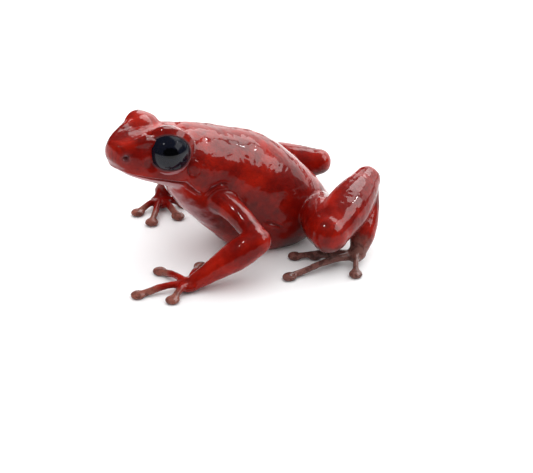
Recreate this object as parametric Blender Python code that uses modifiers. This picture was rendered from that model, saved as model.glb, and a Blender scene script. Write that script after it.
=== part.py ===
"""A strawberry poison dart frog sitting on the floor, life size.

The frog faces -Y, its own left is +X and the floor is Z = 0. Every size is in
millimetres, and finish() sets the meshes to metres with the origin under the
middle of the model.
"""

import math

import bpy
import bmesh
import numpy as np
from mathutils import Matrix, Vector
from mathutils.bvhtree import BVHTree

MILLIMETRE = 0.001
GAP = 0.30
EYE_GAP = 0.22
# The sizes below are counted from a point under the spine. This moves the middle of the box there.
BOX_SHIFT = Vector((0.305, 2.52, 0.0))

# Trunk: points on the back and on the belly in the middle plane, with the half width between them.
# Columns: back y, back z, belly y, belly z, half width.
TRUNK_ROWS = [
    (-8.9, 11.0, -9.3, 7.6, 1.9),
    (-7.9, 11.1, -8.7, 6.2, 2.7),
    (-6.4, 11.05, -7.8, 4.7, 3.05),
    (-4.8, 10.70, -6.7, 3.4, 3.15),
    (-3.0, 10.1, -5.3, 1.9, 3.3),
    (-1.1, 9.5, -3.7, 0.3, 3.6),
    (0.7, 8.4, -1.8, -0.5, 3.85),
    (2.3, 6.95, 0.4, -0.65, 3.75),
    (3.7, 5.4, 2.2, -0.35, 3.2),
    (4.75, 4.1, 3.8, 0.4, 2.4),
    (5.35, 3.1, 4.8, 1.3, 1.4),
]
TRUNK_SIDES = 28
BACK_SQUARENESS = 0.94
BELLY_SQUARENESS = 0.82

# Head: its own frame has the origin midway between the eyes, forward, left and up.
HEAD_CENTRE = Vector((0.30, -9.60, 10.22))
HEAD_YAW = math.radians(16.0)
HEAD_PITCH = math.radians(12.0)
HEAD_ROLL = math.radians(-1.5)
# Columns: forward, widest half width, height of the widest line, top, chin.
HEAD_ROWS = [
    (3.98, 0.45, -0.45, -0.05, -0.90),
    (3.80, 0.95, -0.62, 0.26, -1.25),
    (3.30, 1.44, -0.92, 0.52, -1.82),
    (2.45, 1.94, -1.25, 0.80, -2.32),
    (1.35, 2.43, -1.55, 1.05, -2.70),
    (0.10, 2.80, -1.80, 1.22, -3.00),
    (-1.30, 3.00, -2.00, 1.30, -3.45),
    (-2.70, 3.00, -2.10, 1.24, -3.95),
    (-4.00, 2.80, -2.00, 1.05, -4.20),
    (-5.00, 2.30, -1.90, 0.65, -4.20),
]
HEAD_SIDES = 28
CROWN_SQUARENESS = 0.66
CHIN_SQUARENESS = 0.80
NECK_CUT_CENTRE = (-2.9, 0.0, -1.0)
NECK_CUT_LEAN = 0.42

# Eyes: centre and the way they look, as forward, left and up. The opening is along, across and up.
EYE_RADIUS = 1.53
EYE_CENTRE = (-0.05, 1.95, -0.02)
EYE_AXIS = (0.52, 0.82, 0.24)
LID_RADII = (1.95, 1.94, 1.93)
LID_CENTRE = (-0.05, 1.86, -0.02)
LID_OPENING = (1.50, 1.52, 1.20)
LID_OPENING_OUT = 1.25
CANTHUS_POINTS = [(3.25, 0.86, 0.12), (2.3, 1.28, 0.44), (1.1, 1.70, 0.92)]
CANTHUS_RADII = [0.34, 0.46, 0.62]
# The mouth lies where the head meets a plane: its height midway between the eyes, and its slope.
MOUTH_HEIGHT = -2.29
MOUTH_SLOPE = 0.12
MOUTH_CORNER = math.radians(118.0)
MOUTH_GROOVE_RADIUS = 0.12
LIP_RADIUS = 0.20
LIP_RISE = 0.20
LIP_SINK = 0.12
# Nostrils and ears lie on the side of the head: forward and up, then found from outside.
SIDE_REACH = 6.0
NOSTRIL = (3.42, -0.60)
NOSTRIL_RADIUS = 0.18
EAR_CENTRE = (-1.9, -1.18)
EAR_RADII = (0.46, 0.70)
EAR_GROOVE_RADIUS = 0.10

# Arms: joint centres, then the radius at each of the points between them.
SHOULDER_LEFT = Vector((2.1, -5.35, 5.65))
ELBOW_LEFT = Vector((7.3, -3.6, 3.75))
WRIST_LEFT = Vector((6.45, -8.1, 0.95))
SHOULDER_RIGHT = Vector((-2.1, -5.55, 5.65))
ELBOW_RIGHT = Vector((-7.0, -3.2, 5.0))
WRIST_RIGHT = Vector((-9.0, -5.75, 0.95))
UPPER_ARM_BOW = Vector((0.0, 0.28, 0.18))
UPPER_ARM_RADII = [1.18, 1.00, 0.92, 0.90, 0.95]
FOREARM_RADII = [1.05, 1.20, 1.12, 0.90, 0.72]

WRIST_RADII = [0.66, 0.62, 0.45]
PALM_RADII = (1.10, 0.92, 0.48)
FINGER_RADII = [0.36, 0.29, 0.27, 0.28, 0.29]
# A digit's middle rises by this much, comes down at a share of its length and is flatter to the tip.
FINGER_ARCH = 0.34
ARCH_END = 1.1
ARCH_FALL = 0.3
PAD_RADII = (0.60, 0.56, 0.29)
PAD_HEIGHT = 0.20
PAD_RISE = 0.02
PALM_LEFT = Vector((6.2, -9.0, 0.50))
FINGER_TIPS_LEFT = [(3.3, -6.95), (2.9, -10.2), (5.83, -13.0), (7.55, -10.8)]
PALM_RIGHT = Vector((-8.05, -6.25, 0.52))
FINGER_TIPS_RIGHT = [(-7.3, -4.5), (-5.5, -5.7), (-5.3, -8.05), (-7.4, -8.55)]

# Hind legs.
HIP_LEFT = Vector((1.0, 3.9, 2.8))
KNEE_LEFT = Vector((7.35, 2.4, 3.3))
HEEL_LEFT = Vector((3.35, 7.42, 5.24))
TOE_BASE_LEFT = Vector((7.1, 4.85, 0.70))
HIP_RIGHT = Vector((-1.0, 3.7, 2.8))
KNEE_RIGHT = Vector((-7.6, 0.8, 3.1))
HEEL_RIGHT = Vector((-3.97, 6.31, 3.75))
TOE_BASE_RIGHT = Vector((-7.7, 2.9, 0.62))
THIGH_RADII = [1.15, 1.50, 1.75, 1.80, 1.56]
SHANK_BOW_LEFT = Vector((0.03, 0.01, -0.03))
SHANK_BOW_RIGHT = Vector((-0.03, -0.05, -0.14))
SHANK_RADII = [1.45, 1.72, 1.80, 1.55, 1.12]
TARSUS_BOW_LEFT = Vector((0.26, 0.28, -0.22))
TARSUS_BOW_RIGHT = Vector((-0.26, 0.28, -0.22))
TARSUS_RADII = [0.95, 0.98, 1.00, 0.92, 0.62]
SOLE_RADII = (0.85, 0.64, 0.40)
TOE_RADII = [0.38, 0.30, 0.26, 0.26, 0.28]
TOE_TIPS_LEFT = [(5.75, 3.4), (5.15, 2.1), (4.56, 0.66), (7.55, -1.05), (9.1, 3.95)]
TOE_TIPS_RIGHT = [(-6.5, 2.0), (-5.9, 0.7), (-5.4, -0.7), (-8.3, -2.4), (-9.7, 1.9)]

LIMB_SIDES = 12
JOINT_SET_BACK = 0.5
# Fusing: the size of the cells, the rounds of smoothing, and how many triangles are kept.
FINE_VOXEL = 0.09
FINE_SMOOTHING = 3
TRUNK_VOXEL = 0.14
TRUNK_SMOOTHING = 6
HEAD_TRIANGLES = 2000
TORSO_TRIANGLES = 1500
HAND_TRIANGLES = 1000
FOOT_TRIANGLES = 1400

SKIN_RED = (0.36, 0.012, 0.012, 1.0)
LEG_BROWN = (0.10, 0.055, 0.045, 1.0)
EYE_BLACK = (0.006, 0.007, 0.012, 1.0)


def clear_scene():
    """Remove every object that the script starts with."""
    for item in list(bpy.data.objects):
        bpy.data.objects.remove(item, do_unlink=True)


def collection(name):
    """Make a collection in the scene."""
    made = bpy.data.collections.new(name)
    bpy.context.scene.collection.children.link(made)
    return made


def surface(name, colour, roughness, coat):
    """Make a plain Principled material."""
    made = bpy.data.materials.new(name)
    made.use_nodes = True
    shader = made.node_tree.nodes["Principled BSDF"]
    shader.inputs["Base Color"].default_value = colour
    shader.inputs["Roughness"].default_value = roughness
    shader.inputs["Metallic"].default_value = 0.0
    shader.inputs["Coat Weight"].default_value = coat
    return made


def add_mesh(name, points, faces):
    """Make an object from points and faces, with its normals facing out."""
    mesh = bpy.data.meshes.new(name)
    mesh.from_pydata([tuple(point) for point in points], [], faces)
    shape = bmesh.new()
    shape.from_mesh(mesh)
    bmesh.ops.recalc_face_normals(shape, faces=shape.faces)
    shape.to_mesh(mesh)
    shape.free()
    made = bpy.data.objects.new(name, mesh)
    bpy.context.scene.collection.objects.link(made)
    return made


def eased_rows(rows, steps):
    """Run a smooth curve through the rows of a table, with the given steps in each span."""
    table = np.array(rows, dtype=float)
    before = 2 * table[0] - table[1]
    after = 2 * table[-1] - table[-2]
    table = np.vstack([before, table, after])
    eased = []
    for span in range(len(rows) - 1):
        a, b, c, d = table[span:span + 4]
        for step in range(steps):
            t = step / steps
            eased.append(0.5 * ((2 * b) + (c - a) * t + (2 * a - 5 * b + 4 * c - d) * t ** 2
                                + (3 * b - a - 3 * c + d) * t ** 3))
    eased.append(table[-2])
    return eased


def loft(name, rings):
    """Skin a row of rings that all have the same number of points, and close both ends."""
    sides = len(rings[0])
    points = [point for ring in rings for point in ring]
    faces = []
    for row in range(len(rings) - 1):
        for side in range(sides):
            following = (side + 1) % sides
            faces.append((row * sides + side, row * sides + following,
                          (row + 1) * sides + following, (row + 1) * sides + side))
    faces.append(tuple(range(sides)))
    last = (len(rings) - 1) * sides
    faces.append(tuple(range(last, last + sides)))
    return add_mesh(name, points, faces)


def powered(value, power):
    """Raise a signed number to a power and keep its sign."""
    return math.copysign(abs(value) ** power, value)


def tube(name, points, radii, sides=LIMB_SIDES, steps=2, flatness=1.0):
    """Make a round-ended limb along points, with a radius at each of them."""
    rows = eased_rows([(*point, radius) for point, radius in zip(points, radii)], steps)
    centres = [Vector(row[:3]) for row in rows]
    widths = [float(row[3]) for row in rows]
    heading = (centres[1] - centres[0]).normalized()
    across = heading.cross(Vector((0.0, 0.0, 1.0)))
    if across.length < 0.1:
        across = heading.cross(Vector((0.0, 1.0, 0.0)))
    across.normalize()
    rings = []
    stations = []
    for index, centre in enumerate(centres):
        ahead = centres[min(index + 1, len(centres) - 1)]
        behind = centres[max(index - 1, 0)]
        stations.append((centre, widths[index], (ahead - behind).normalized()))
    for lean in (60.0, 30.0):
        turn = math.radians(lean)
        centre, width, way = stations[0]
        rings.append((centre - way * width * math.sin(turn), width * math.cos(turn), way))
    for station in stations:
        rings.append(station)
    for lean in (30.0, 60.0):
        turn = math.radians(lean)
        centre, width, way = stations[-1]
        rings.append((centre + way * width * math.sin(turn), width * math.cos(turn), way))
    skin = []
    for centre, width, way in rings:
        across = (across - way * across.dot(way)).normalized()
        upward = across.cross(way).normalized()
        ring = []
        for side in range(sides):
            turn = 2.0 * math.pi * side / sides
            ring.append(centre + across * width * math.cos(turn)
                        + upward * width * flatness * math.sin(turn))
        skin.append(ring)
    return loft(name, skin)


def ball(name, centre, radii, matrix=None, segments=20, rows=12):
    """Make an ellipsoid from a sphere, with its axes turned by a matrix."""
    shape = bmesh.new()
    bmesh.ops.create_uvsphere(shape, u_segments=segments, v_segments=rows, radius=1.0)
    turn = matrix.to_4x4() if matrix is not None else Matrix.Identity(4)
    size = Matrix.Diagonal((*radii, 1.0))
    bmesh.ops.transform(shape, matrix=Matrix.Translation(centre) @ turn @ size, verts=shape.verts)
    mesh = bpy.data.meshes.new(name)
    shape.to_mesh(mesh)
    shape.free()
    made = bpy.data.objects.new(name, mesh)
    bpy.context.scene.collection.objects.link(made)
    return made


def joined(name, pieces):
    """Put the meshes of several objects into one object, still as separate closed surfaces."""
    shape = bmesh.new()
    for piece in pieces:
        shape.from_mesh(piece.data)
        bpy.data.objects.remove(piece, do_unlink=True)
    mesh = bpy.data.meshes.new(name)
    shape.to_mesh(mesh)
    shape.free()
    made = bpy.data.objects.new(name, mesh)
    bpy.context.scene.collection.objects.link(made)
    return made


def settled(item):
    """Replace an object's mesh by the result of its modifiers."""
    graph = bpy.context.evaluated_depsgraph_get()
    graph.update()
    mesh = bpy.data.meshes.new_from_object(item.evaluated_get(graph))
    item.modifiers.clear()
    item.data = mesh
    return item


def fused(item, voxel, smooth_rounds):
    """Fuse overlapping closed surfaces into one skin and smooth it."""
    remesh = item.modifiers.new("fuse", "REMESH")
    remesh.mode = "VOXEL"
    remesh.voxel_size = voxel
    soften = item.modifiers.new("soften", "SMOOTH")
    soften.factor = 0.5
    soften.iterations = smooth_rounds
    return settled(item)


def thinned(item, triangles):
    """Bring a mesh down to about a number of triangles."""
    count = sum(len(face.vertices) - 2 for face in item.data.polygons)
    thin = item.modifiers.new("thin", "DECIMATE")
    thin.ratio = min(1.0, triangles / count)
    return settled(item)


def cut(item, cutter):
    """Take one closed shape away from another."""
    change = item.modifiers.new("cut", "BOOLEAN")
    change.operation = "DIFFERENCE"
    change.solver = "EXACT"
    change.object = cutter
    settled(item)
    bpy.data.objects.remove(cutter, do_unlink=True)
    return item


def swollen(item, amount):
    """Copy an object with its surface moved out by an amount."""
    shape = bmesh.new()
    shape.from_mesh(item.data)
    bmesh.ops.triangulate(shape, faces=shape.faces)
    shape.normal_update()
    moves = [vert.normal * amount for vert in shape.verts]
    for vert, move in zip(shape.verts, moves):
        vert.co += move
    mesh = bpy.data.meshes.new(item.name + "_swollen")
    shape.to_mesh(mesh)
    shape.free()
    made = bpy.data.objects.new(item.name + "_swollen", mesh)
    bpy.context.scene.collection.objects.link(made)
    return made


def clear_of(item, others):
    """Cut an object back so that the usual gap stays between it and its neighbours."""
    for other in others:
        cut(item, swollen(other, GAP))
    return item


def floor_flat(item):
    """Cut off what lies below the floor, which leaves small flats at one level."""
    shape = bmesh.new()
    shape.from_mesh(item.data)
    if min(vert.co.z for vert in shape.verts) < 0.0:
        everything = shape.verts[:] + shape.edges[:] + shape.faces[:]
        sliced = bmesh.ops.bisect_plane(shape, geom=everything, plane_co=(0, 0, 0),
                                        plane_no=(0, 0, -1), clear_outer=True, dist=1e-5)
        edges = [part for part in sliced["geom_cut"] if isinstance(part, bmesh.types.BMEdge)]
        bmesh.ops.holes_fill(shape, edges=edges, sides=0)
        bmesh.ops.triangulate(shape, faces=shape.faces)
    shape.to_mesh(item.data)
    shape.free()
    return item


def largest_only(item):
    """Keep only the largest closed surface of an object."""
    shape = bmesh.new()
    shape.from_mesh(item.data)
    unseen = set(shape.verts)
    groups = []
    while unseen:
        stack = [unseen.pop()]
        group = set(stack)
        while stack:
            for edge in stack.pop().link_edges:
                for vert in edge.verts:
                    if vert in unseen:
                        unseen.discard(vert)
                        group.add(vert)
                        stack.append(vert)
        groups.append(group)
    groups.sort(key=len)
    spare = [vert for group in groups[:-1] for vert in group]
    bmesh.ops.delete(shape, geom=spare, context="VERTS")
    bmesh.ops.triangulate(shape, faces=shape.faces)
    shape.to_mesh(item.data)
    shape.free()
    return item


def head_matrix():
    """The head's frame: columns forward, left and up, turned by its yaw, pitch and roll."""
    yaw = Matrix.Rotation(HEAD_YAW, 3, "Z")
    pitch = Matrix.Rotation(HEAD_PITCH, 3, "X")
    roll = Matrix.Rotation(HEAD_ROLL, 3, "Y")
    turned = yaw @ pitch.inverted() @ roll
    forward = turned @ Vector((0.0, -1.0, 0.0))
    left = turned @ Vector((1.0, 0.0, 0.0))
    upward = turned @ Vector((0.0, 0.0, 1.0))
    return Matrix((forward, left, upward)).transposed()


HEAD_FRAME = head_matrix()


def on_head(forward, left, upward):
    """Turn a place in the head's frame into a place in the model."""
    return HEAD_CENTRE + HEAD_FRAME @ Vector((forward, left, upward))


def eye_place(side, out=0.0):
    """A point on the line that an eye looks along, some way out from its middle."""
    forward, left, upward = Vector(EYE_CENTRE) + Vector(EYE_AXIS).normalized() * out
    return on_head(forward, side * left, upward)


def eye_frame(side):
    """An eye's axes: the way it looks, level across it, and up."""
    forward, left, upward = EYE_AXIS
    looks = (HEAD_FRAME @ Vector((forward, side * left, upward))).normalized()
    level = (HEAD_FRAME @ Vector((0.0, 0.0, 1.0))).cross(looks).normalized()
    return Matrix((looks, level, looks.cross(level))).transposed()


def trunk_form():
    """Loft the body from the nape to the vent."""
    rings = []
    for back_y, back_z, belly_y, belly_z, half_width in eased_rows(TRUNK_ROWS, 3):
        back = Vector((0.0, back_y, back_z))
        belly = Vector((0.0, belly_y, belly_z))
        centre = (back + belly) / 2.0
        upward = (back - belly) / 2.0
        ring = []
        for side in range(TRUNK_SIDES):
            turn = 2.0 * math.pi * side / TRUNK_SIDES
            power = BACK_SQUARENESS if math.sin(turn) > 0.0 else BELLY_SQUARENESS
            across = half_width * powered(math.cos(turn), power)
            ring.append(centre + Vector((across, 0.0, 0.0))
                        + upward * powered(math.sin(turn), power))
        rings.append(ring)
    return loft("trunk_form", rings)


def head_form():
    """Loft the skull and jaw from the snout to the nape."""
    rings = []
    for forward, half_width, mouth, top, chin in eased_rows(HEAD_ROWS, 3):
        ring = []
        for side in range(HEAD_SIDES):
            turn = 2.0 * math.pi * side / HEAD_SIDES
            power = CROWN_SQUARENESS if math.sin(turn) > 0.0 else CHIN_SQUARENESS
            height = (top - mouth) if math.sin(turn) > 0.0 else (mouth - chin)
            left = half_width * powered(math.cos(turn), power)
            ring.append(on_head(forward, left, mouth + height * powered(math.sin(turn), power)))
        rings.append(ring)
    return loft("head_form", rings)


def mouth_line(item, rise, count=25):
    """Points round the mouth on an object's surface, from the left corner to the right one."""
    shape = bmesh.new()
    shape.from_mesh(item.data)
    tree = BVHTree.FromBMesh(shape)
    shape.free()
    inside = on_head(0.0, 0.0, MOUTH_HEIGHT + rise)
    points = []
    for step in range(count):
        turn = MOUTH_CORNER * (1.0 - 2.0 * step / (count - 1))
        way = Vector((math.cos(turn), math.sin(turn), MOUTH_SLOPE * math.cos(turn)))
        points.append(tree.ray_cast(inside, (HEAD_FRAME @ way).normalized())[0])
    return points


def head_forms():
    """The forms that fuse into the head: skull, lids, brow ridges and upper lip."""
    forms = [head_form()]
    for side in (1.0, -1.0):
        forward, left, upward = LID_CENTRE
        forms.append(ball("lid", on_head(forward, side * left, upward), LID_RADII, HEAD_FRAME))
        ridge = [on_head(f, side * l, u) for f, l, u in CANTHUS_POINTS]
        forms.append(tube("canthus", ridge, CANTHUS_RADII))
    middle = on_head(0.0, 0.0, MOUTH_HEIGHT + LIP_RISE)
    lip = [point + (middle - point).normalized() * LIP_SINK
           for point in mouth_line(forms[0], LIP_RISE)]
    forms.append(tube("lip", lip, [LIP_RADIUS] * len(lip), sides=8, steps=1))
    return forms


def halves(item, centre, normal):
    """Split an object into the part ahead of a plane and the part behind it, with the gap between."""
    parts = []
    for name, way in (("ahead", 1.0), ("behind", -1.0)):
        copy = bpy.data.objects.new(name, item.data.copy())
        bpy.context.scene.collection.objects.link(copy)
        shape = bmesh.new()
        shape.from_mesh(copy.data)
        everything = shape.verts[:] + shape.edges[:] + shape.faces[:]
        sliced = bmesh.ops.bisect_plane(shape, geom=everything, dist=1e-5,
                                        plane_co=centre + normal * (way * GAP / 2.0),
                                        plane_no=normal * -way, clear_outer=True)
        edges = [part for part in sliced["geom_cut"] if isinstance(part, bmesh.types.BMEdge)]
        bmesh.ops.holes_fill(shape, edges=edges, sides=0)
        bmesh.ops.triangulate(shape, faces=shape.faces)
        shape.to_mesh(copy.data)
        shape.free()
        parts.append(copy)
    bpy.data.objects.remove(item, do_unlink=True)
    return parts


def side_surface(item, side, places):
    """The points on a side of the head, straight out from places given as forward and up."""
    shape = bmesh.new()
    shape.from_mesh(item.data)
    tree = BVHTree.FromBMesh(shape)
    shape.free()
    way = HEAD_FRAME @ Vector((0.0, -side, 0.0))
    return [tree.ray_cast(on_head(forward, side * SIDE_REACH, upward), way)[0]
            for forward, upward in places]


def ring_tube(name, points, radius, sides=6):
    """A closed ring of round section along a loop of points."""
    count = len(points)
    middle = sum(points, Vector()) / count
    verts = []
    faces = []
    for index, point in enumerate(points):
        way = (points[(index + 1) % count] - points[index - 1]).normalized()
        outward = (point - middle).normalized()
        upward = way.cross(outward).normalized()
        for side in range(sides):
            turn = 2.0 * math.pi * side / sides
            verts.append(point + outward * radius * math.cos(turn)
                         + upward * radius * math.sin(turn))
    for index in range(count):
        following = (index + 1) % count
        for side in range(sides):
            across = (side + 1) % sides
            faces.append((index * sides + side, index * sides + across,
                          following * sides + across, following * sides + side))
    return add_mesh(name, verts, faces)


def carve_head(head):
    """Cut the sockets, the mouth, the nostrils and the rings round the ears."""
    groove = mouth_line(head, 0.0)
    cut(head, tube("mouth", groove, [MOUTH_GROOVE_RADIUS] * len(groove), sides=6, steps=1))
    for side in (1.0, -1.0):
        rim = []
        for step in range(12):
            turn = 2.0 * math.pi * step / 12.0
            rim.append((EAR_CENTRE[0] + EAR_RADII[0] * math.cos(turn),
                        EAR_CENTRE[1] + EAR_RADII[1] * math.sin(turn)))
        cut(head, ring_tube("ear_ring", side_surface(head, side, rim), EAR_GROOVE_RADIUS))
        cut(head, ball("socket", eye_place(side), [EYE_RADIUS + EYE_GAP] * 3, HEAD_FRAME))
        cut(head, ball("window", eye_place(side, LID_OPENING_OUT), LID_OPENING, eye_frame(side)))
        nostril = side_surface(head, side, [NOSTRIL])[0]
        cut(head, ball("nostril", nostril, [NOSTRIL_RADIUS] * 3, HEAD_FRAME, 10, 6))
    return head


def floor_frame(way):
    """Axes that lie along a heading on the floor, across it and up."""
    heading = Vector((way.x, way.y, 0.0)).normalized()
    across = heading.cross(Vector((0, 0, 1)))
    return Matrix((heading, across, Vector((0, 0, 1)))).transposed()


def hand_form(name, wrist, palm, tips):
    """Fuse a palm, four fingers and their pads into one hand."""
    forms = [ball("palm", palm, PALM_RADII, floor_frame(palm - wrist))]
    forms.append(tube("wrist", [wrist, (wrist + palm) / 2.0, palm], WRIST_RADII))
    for tip_x, tip_y in tips:
        tip = Vector((tip_x, tip_y, PAD_HEIGHT))
        forms += digit(palm, tip, FINGER_RADII)
    return floor_flat(thinned(fused(joined(name, forms), FINE_VOXEL, FINE_SMOOTHING), HAND_TRIANGLES))


def digit(root, tip, radii):
    """A finger or toe from its root to its pad, arched a little off the floor."""
    points = []
    for step in range(len(radii)):
        t = step / (len(radii) - 1)
        point = root.lerp(tip, t)
        rise = math.sin(math.pi * min(1.0, t * ARCH_END)) * (1.0 - ARCH_FALL * t)
        point.z += FINGER_ARCH * rise
        points.append(point)
    pad = ball("pad", tip + Vector((0, 0, PAD_RISE)), PAD_RADII, floor_frame(tip - root))
    return [tube("digit", points, radii, sides=10, steps=2), pad]


def foot_form(name, heel, base, tips, bow):
    """Fuse the tarsus, the sole, five toes and their pads into one foot."""
    forms = [limb("tarsus", heel, base, TARSUS_RADII, bow)]
    heading = Vector(((tips[1][0] + tips[3][0]) / 2.0, (tips[1][1] + tips[3][1]) / 2.0, base.z)) - base
    forms.append(ball("sole", base, SOLE_RADII, floor_frame(heading)))
    for tip_x, tip_y in tips:
        forms += digit(base, Vector((tip_x, tip_y, PAD_HEIGHT)), TOE_RADII)
    return floor_flat(thinned(fused(joined(name, forms), FINE_VOXEL, FINE_SMOOTHING), FOOT_TRIANGLES))


def along(start, end, count):
    """Evenly spaced points from start to end."""
    return [start.lerp(end, step / (count - 1)) for step in range(count)]


def limb(name, start, end, radii, bow=Vector((0, 0, 0)), set_back=0.0):
    """A limb length from joint to joint, with its middle bowed and its start set on a little."""
    first = start + (end - start).normalized() * set_back
    points = []
    for step, point in enumerate(along(first, end, len(radii))):
        t = step / (len(radii) - 1)
        points.append(point + bow * math.sin(math.pi * t))
    return tube(name, points, radii)


def finish(item, name, material, home):
    """Name a node, give it its material and set it to metres in its collection."""
    largest_only(item)
    item.data.transform(Matrix.Scale(MILLIMETRE, 4) @ Matrix.Translation(BOX_SHIFT))
    item.name = name
    item.data.name = name
    item.data.materials.clear()
    item.data.materials.append(material)
    for face in item.data.polygons:
        face.use_smooth = True
    for parent in list(item.users_collection):
        parent.objects.unlink(item)
    home.objects.link(item)


def build():
    """Model the frog and leave one object for each node."""
    clear_scene()
    home = collection("strawberry_poison_dart_frog")
    red = surface("wet red skin", SKIN_RED, 0.3, 0.6)
    brown = surface("brown toe skin", LEG_BROWN, 0.4, 0.4)
    black = surface("eye", EYE_BLACK, 0.05, 1.0)

    whole = joined("trunk", [trunk_form()] + head_forms())
    whole = fused(whole, TRUNK_VOXEL, TRUNK_SMOOTHING)
    lean = HEAD_FRAME @ Vector((1.0, 0.0, NECK_CUT_LEAN)).normalized()
    head, torso = halves(whole, on_head(*NECK_CUT_CENTRE), lean)
    thinned(head, HEAD_TRIANGLES)
    floor_flat(thinned(torso, TORSO_TRIANGLES))
    head_plain = bpy.data.objects.new("head_plain", head.data.copy())
    carve_head(head)

    nodes = [("head", head, red), ("torso", torso, red)]
    for side, tag in ((1.0, "left"), (-1.0, "right")):
        eye = ball("eye", eye_place(side), [EYE_RADIUS] * 3, HEAD_FRAME)
        nodes.append(("eye_" + tag, eye, black))

    sides = {
        "left": (SHOULDER_LEFT, ELBOW_LEFT, WRIST_LEFT, PALM_LEFT, FINGER_TIPS_LEFT,
                 HIP_LEFT, KNEE_LEFT, HEEL_LEFT, TOE_BASE_LEFT, TOE_TIPS_LEFT,
                 SHANK_BOW_LEFT, TARSUS_BOW_LEFT),
        "right": (SHOULDER_RIGHT, ELBOW_RIGHT, WRIST_RIGHT, PALM_RIGHT, FINGER_TIPS_RIGHT,
                  HIP_RIGHT, KNEE_RIGHT, HEEL_RIGHT, TOE_BASE_RIGHT, TOE_TIPS_RIGHT,
                  SHANK_BOW_RIGHT, TARSUS_BOW_RIGHT),
    }
    for tag, places in sides.items():
        shoulder, elbow, wrist, palm, fingers = places[:5]
        hip, knee, heel, base, toes, shank_bow, tarsus_bow = places[5:]
        upper = limb("upper_arm", shoulder, elbow, UPPER_ARM_RADII, UPPER_ARM_BOW)
        clear_of(upper, [torso, head_plain])
        largest_only(upper)
        fore = limb("forearm", elbow, wrist, FOREARM_RADII, set_back=JOINT_SET_BACK)
        clear_of(fore, [upper])
        largest_only(fore)
        hand = hand_form("hand", wrist, palm, fingers)
        clear_of(hand, [fore])
        thigh = limb("thigh", hip, knee, THIGH_RADII)
        clear_of(thigh, [torso])
        largest_only(thigh)
        shank = limb("shank", knee, heel, SHANK_RADII, shank_bow, JOINT_SET_BACK)
        clear_of(shank, [thigh])
        largest_only(shank)
        foot = foot_form("foot", heel, base, toes, tarsus_bow)
        clear_of(foot, [shank, thigh])
        nodes += [("upper_arm_" + tag, upper, red), ("forearm_" + tag, fore, red),
                  ("hand_" + tag, hand, brown), ("thigh_" + tag, thigh, red),
                  ("shank_" + tag, shank, red), ("foot_" + tag, foot, brown)]
    bpy.data.objects.remove(head_plain, do_unlink=True)
    for name, item, material in nodes:
        finish(item, name, material, home)


build()
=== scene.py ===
"""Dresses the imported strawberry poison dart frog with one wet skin, two eyes and a plain stage.

The frog faces -Y, its own left is +X and the floor is Z = 0. Shape sizes are in
millimetres, counted from a point under the spine; to_model() turns them into the
model's metres. The stage's sizes are in metres.
"""
import math

import bmesh
import bpy
import numpy as np
from mathutils import Matrix, Vector, noise
from mathutils.bvhtree import BVHTree


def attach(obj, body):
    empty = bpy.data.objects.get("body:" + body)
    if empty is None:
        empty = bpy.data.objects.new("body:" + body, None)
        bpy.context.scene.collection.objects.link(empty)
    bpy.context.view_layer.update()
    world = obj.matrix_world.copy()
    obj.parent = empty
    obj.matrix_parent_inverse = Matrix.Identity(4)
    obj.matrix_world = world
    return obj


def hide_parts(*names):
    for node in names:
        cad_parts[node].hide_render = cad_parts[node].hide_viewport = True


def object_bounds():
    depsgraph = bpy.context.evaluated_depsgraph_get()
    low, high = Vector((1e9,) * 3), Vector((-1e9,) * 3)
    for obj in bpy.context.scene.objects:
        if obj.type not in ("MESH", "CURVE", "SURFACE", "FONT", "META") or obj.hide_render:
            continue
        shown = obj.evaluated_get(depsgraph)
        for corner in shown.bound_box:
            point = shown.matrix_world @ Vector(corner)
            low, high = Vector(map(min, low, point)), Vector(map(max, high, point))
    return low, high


bl_info = {
    "name": "Strawberry poison dart frog",
    "version": (1, 0, 0),
    "blender": (4, 5, 0),
    "location": "3D View > Sidebar > Frog",
    "description": "Skin, eyes and stage for a life-size dart frog model",
    "category": "Object",
}

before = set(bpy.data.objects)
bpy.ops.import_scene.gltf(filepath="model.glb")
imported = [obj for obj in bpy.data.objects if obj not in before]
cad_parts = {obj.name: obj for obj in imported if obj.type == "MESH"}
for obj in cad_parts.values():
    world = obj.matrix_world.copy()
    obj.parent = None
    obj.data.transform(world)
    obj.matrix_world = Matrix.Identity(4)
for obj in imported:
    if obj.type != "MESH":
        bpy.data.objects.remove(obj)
CAD_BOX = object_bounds()

MILLIMETRE = 0.001
BOX_SHIFT = Vector((0.305, 2.52, 0.0))
# The frog's left and right.
SIDES = (1.0, -1.0)

# Trunk: back y, back z, belly y, belly z, half width.
TRUNK_ROWS = [
    (-8.9, 11.0, -9.3, 7.6, 1.9),
    (-7.9, 11.1, -8.7, 6.2, 2.7),
    (-6.4, 11.05, -7.8, 4.7, 3.05),
    (-4.8, 10.70, -6.7, 3.4, 3.15),
    (-3.0, 10.1, -5.3, 1.9, 3.3),
    (-1.1, 9.5, -3.7, 0.3, 3.6),
    (0.7, 8.4, -1.8, -0.5, 3.85),
    (2.3, 6.95, 0.4, -0.65, 3.75),
    (3.7, 5.4, 2.2, -0.35, 3.2),
    (4.75, 4.1, 3.8, 0.4, 2.4),
    (5.35, 3.1, 4.8, 1.3, 1.4),
]
BACK_SQUARENESS = 0.94
BELLY_SQUARENESS = 0.82

# Head: its own frame has the origin midway between the eyes, forward, left and up.
HEAD_CENTRE = Vector((0.30, -9.60, 10.22))
HEAD_YAW = math.radians(16.0)
HEAD_PITCH = math.radians(12.0)
HEAD_ROLL = math.radians(-1.5)
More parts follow.
